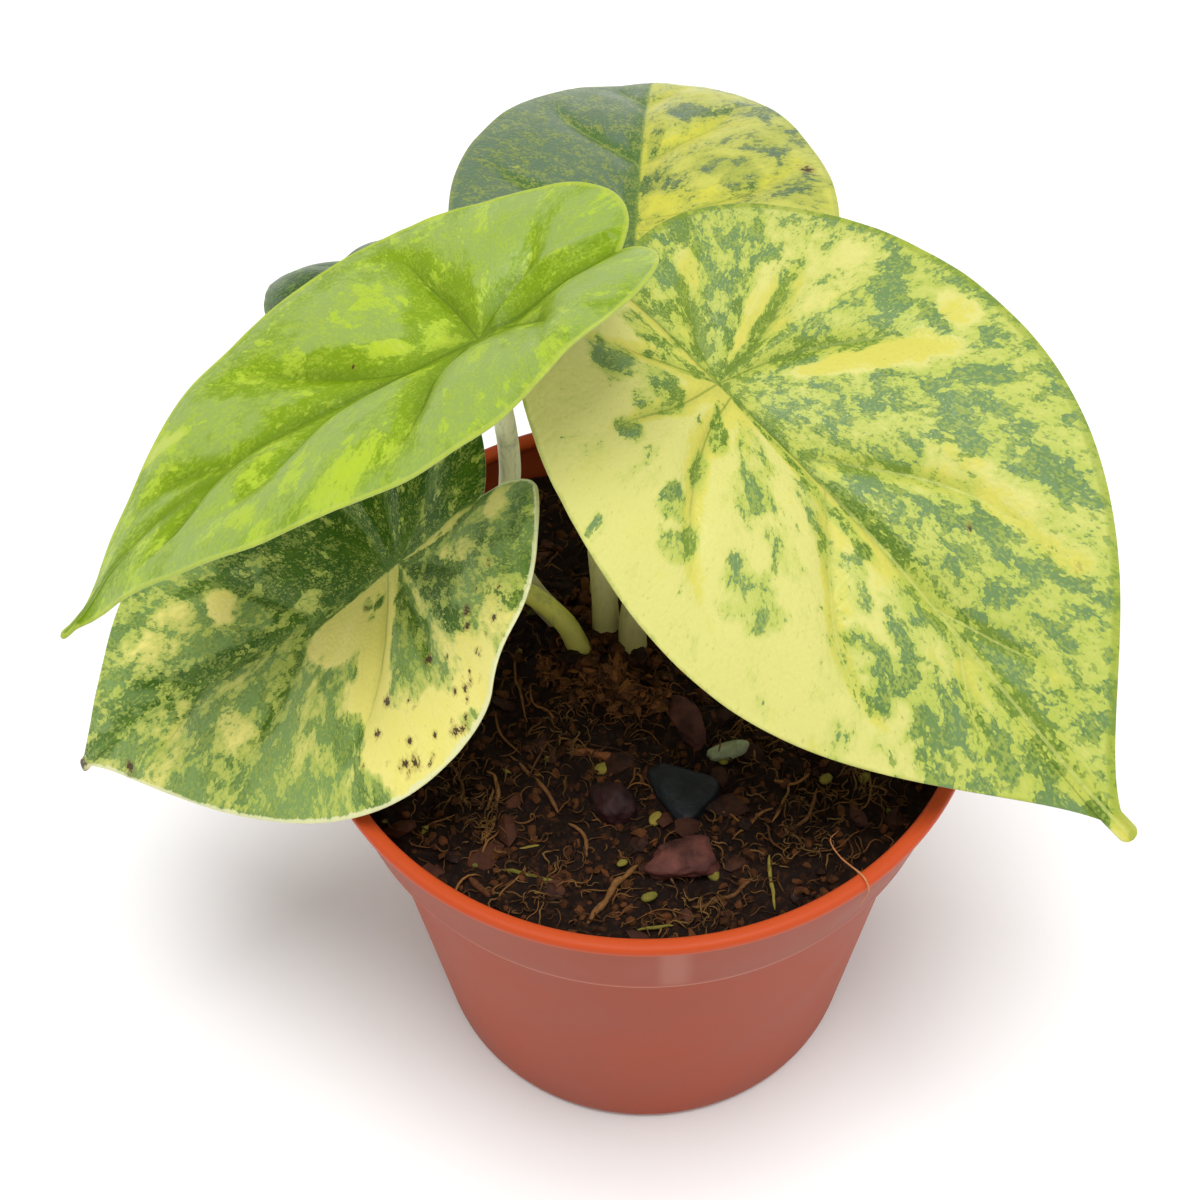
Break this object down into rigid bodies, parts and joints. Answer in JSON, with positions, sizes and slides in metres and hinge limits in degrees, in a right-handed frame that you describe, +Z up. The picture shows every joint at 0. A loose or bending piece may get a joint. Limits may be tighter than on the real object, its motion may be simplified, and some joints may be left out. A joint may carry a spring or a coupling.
{
  "type": "potted variegated silver dragon alocasia",
  "caption": "Young aroid house plant with heart-shaped, drip-tipped leaves mottled in green, yellow and cream, growing in a terracotta-coloured plastic nursery pot.",
  "frame": {"origin": "centre of the pot's flat underside", "axes": "+Z up along the pot's axis; -Y towards the side that shows the large right leaf and the two left leaves"},
  "size_m": [0.1869, 0.1999, 0.193],
  "materials": {
    "pot_plastic": "satin terracotta-coloured polypropylene",
    "potting_mix": "damp bark and coir",
    "crown": "dull, papery",
    "stone": "dull",
    "bark": "dull",
    "pale_wood": "dull",
    "petiole": "smooth, moist",
    "leaf_yellow": "satin leaf",
    "leaf_lime": "satin leaf",
    "leaf_mottled": "satin leaf",
    "leaf_half_yellow": "satin leaf",
    "leaf_green": "satin leaf"
  },
  "bodies": {
    "root": {"pot": "pot_plastic", "potting_mix": "potting_mix", "crown": "crown", "stone_chip": "stone", "bark_chip_1": "bark", "bark_chip_2": "bark", "pale_chip": "pale_wood", "petiole_right": "petiole", "blade_right": "leaf_yellow", "petiole_left_upper": "petiole", "blade_left_upper": "leaf_lime", "petiole_left_lower": "petiole", "blade_left_lower": "leaf_mottled", "petiole_back": "petiole", "blade_back": "leaf_half_yellow", "petiole_rear_left": "petiole", "blade_rear_left": "leaf_green"}
  },
  "joints": []
}
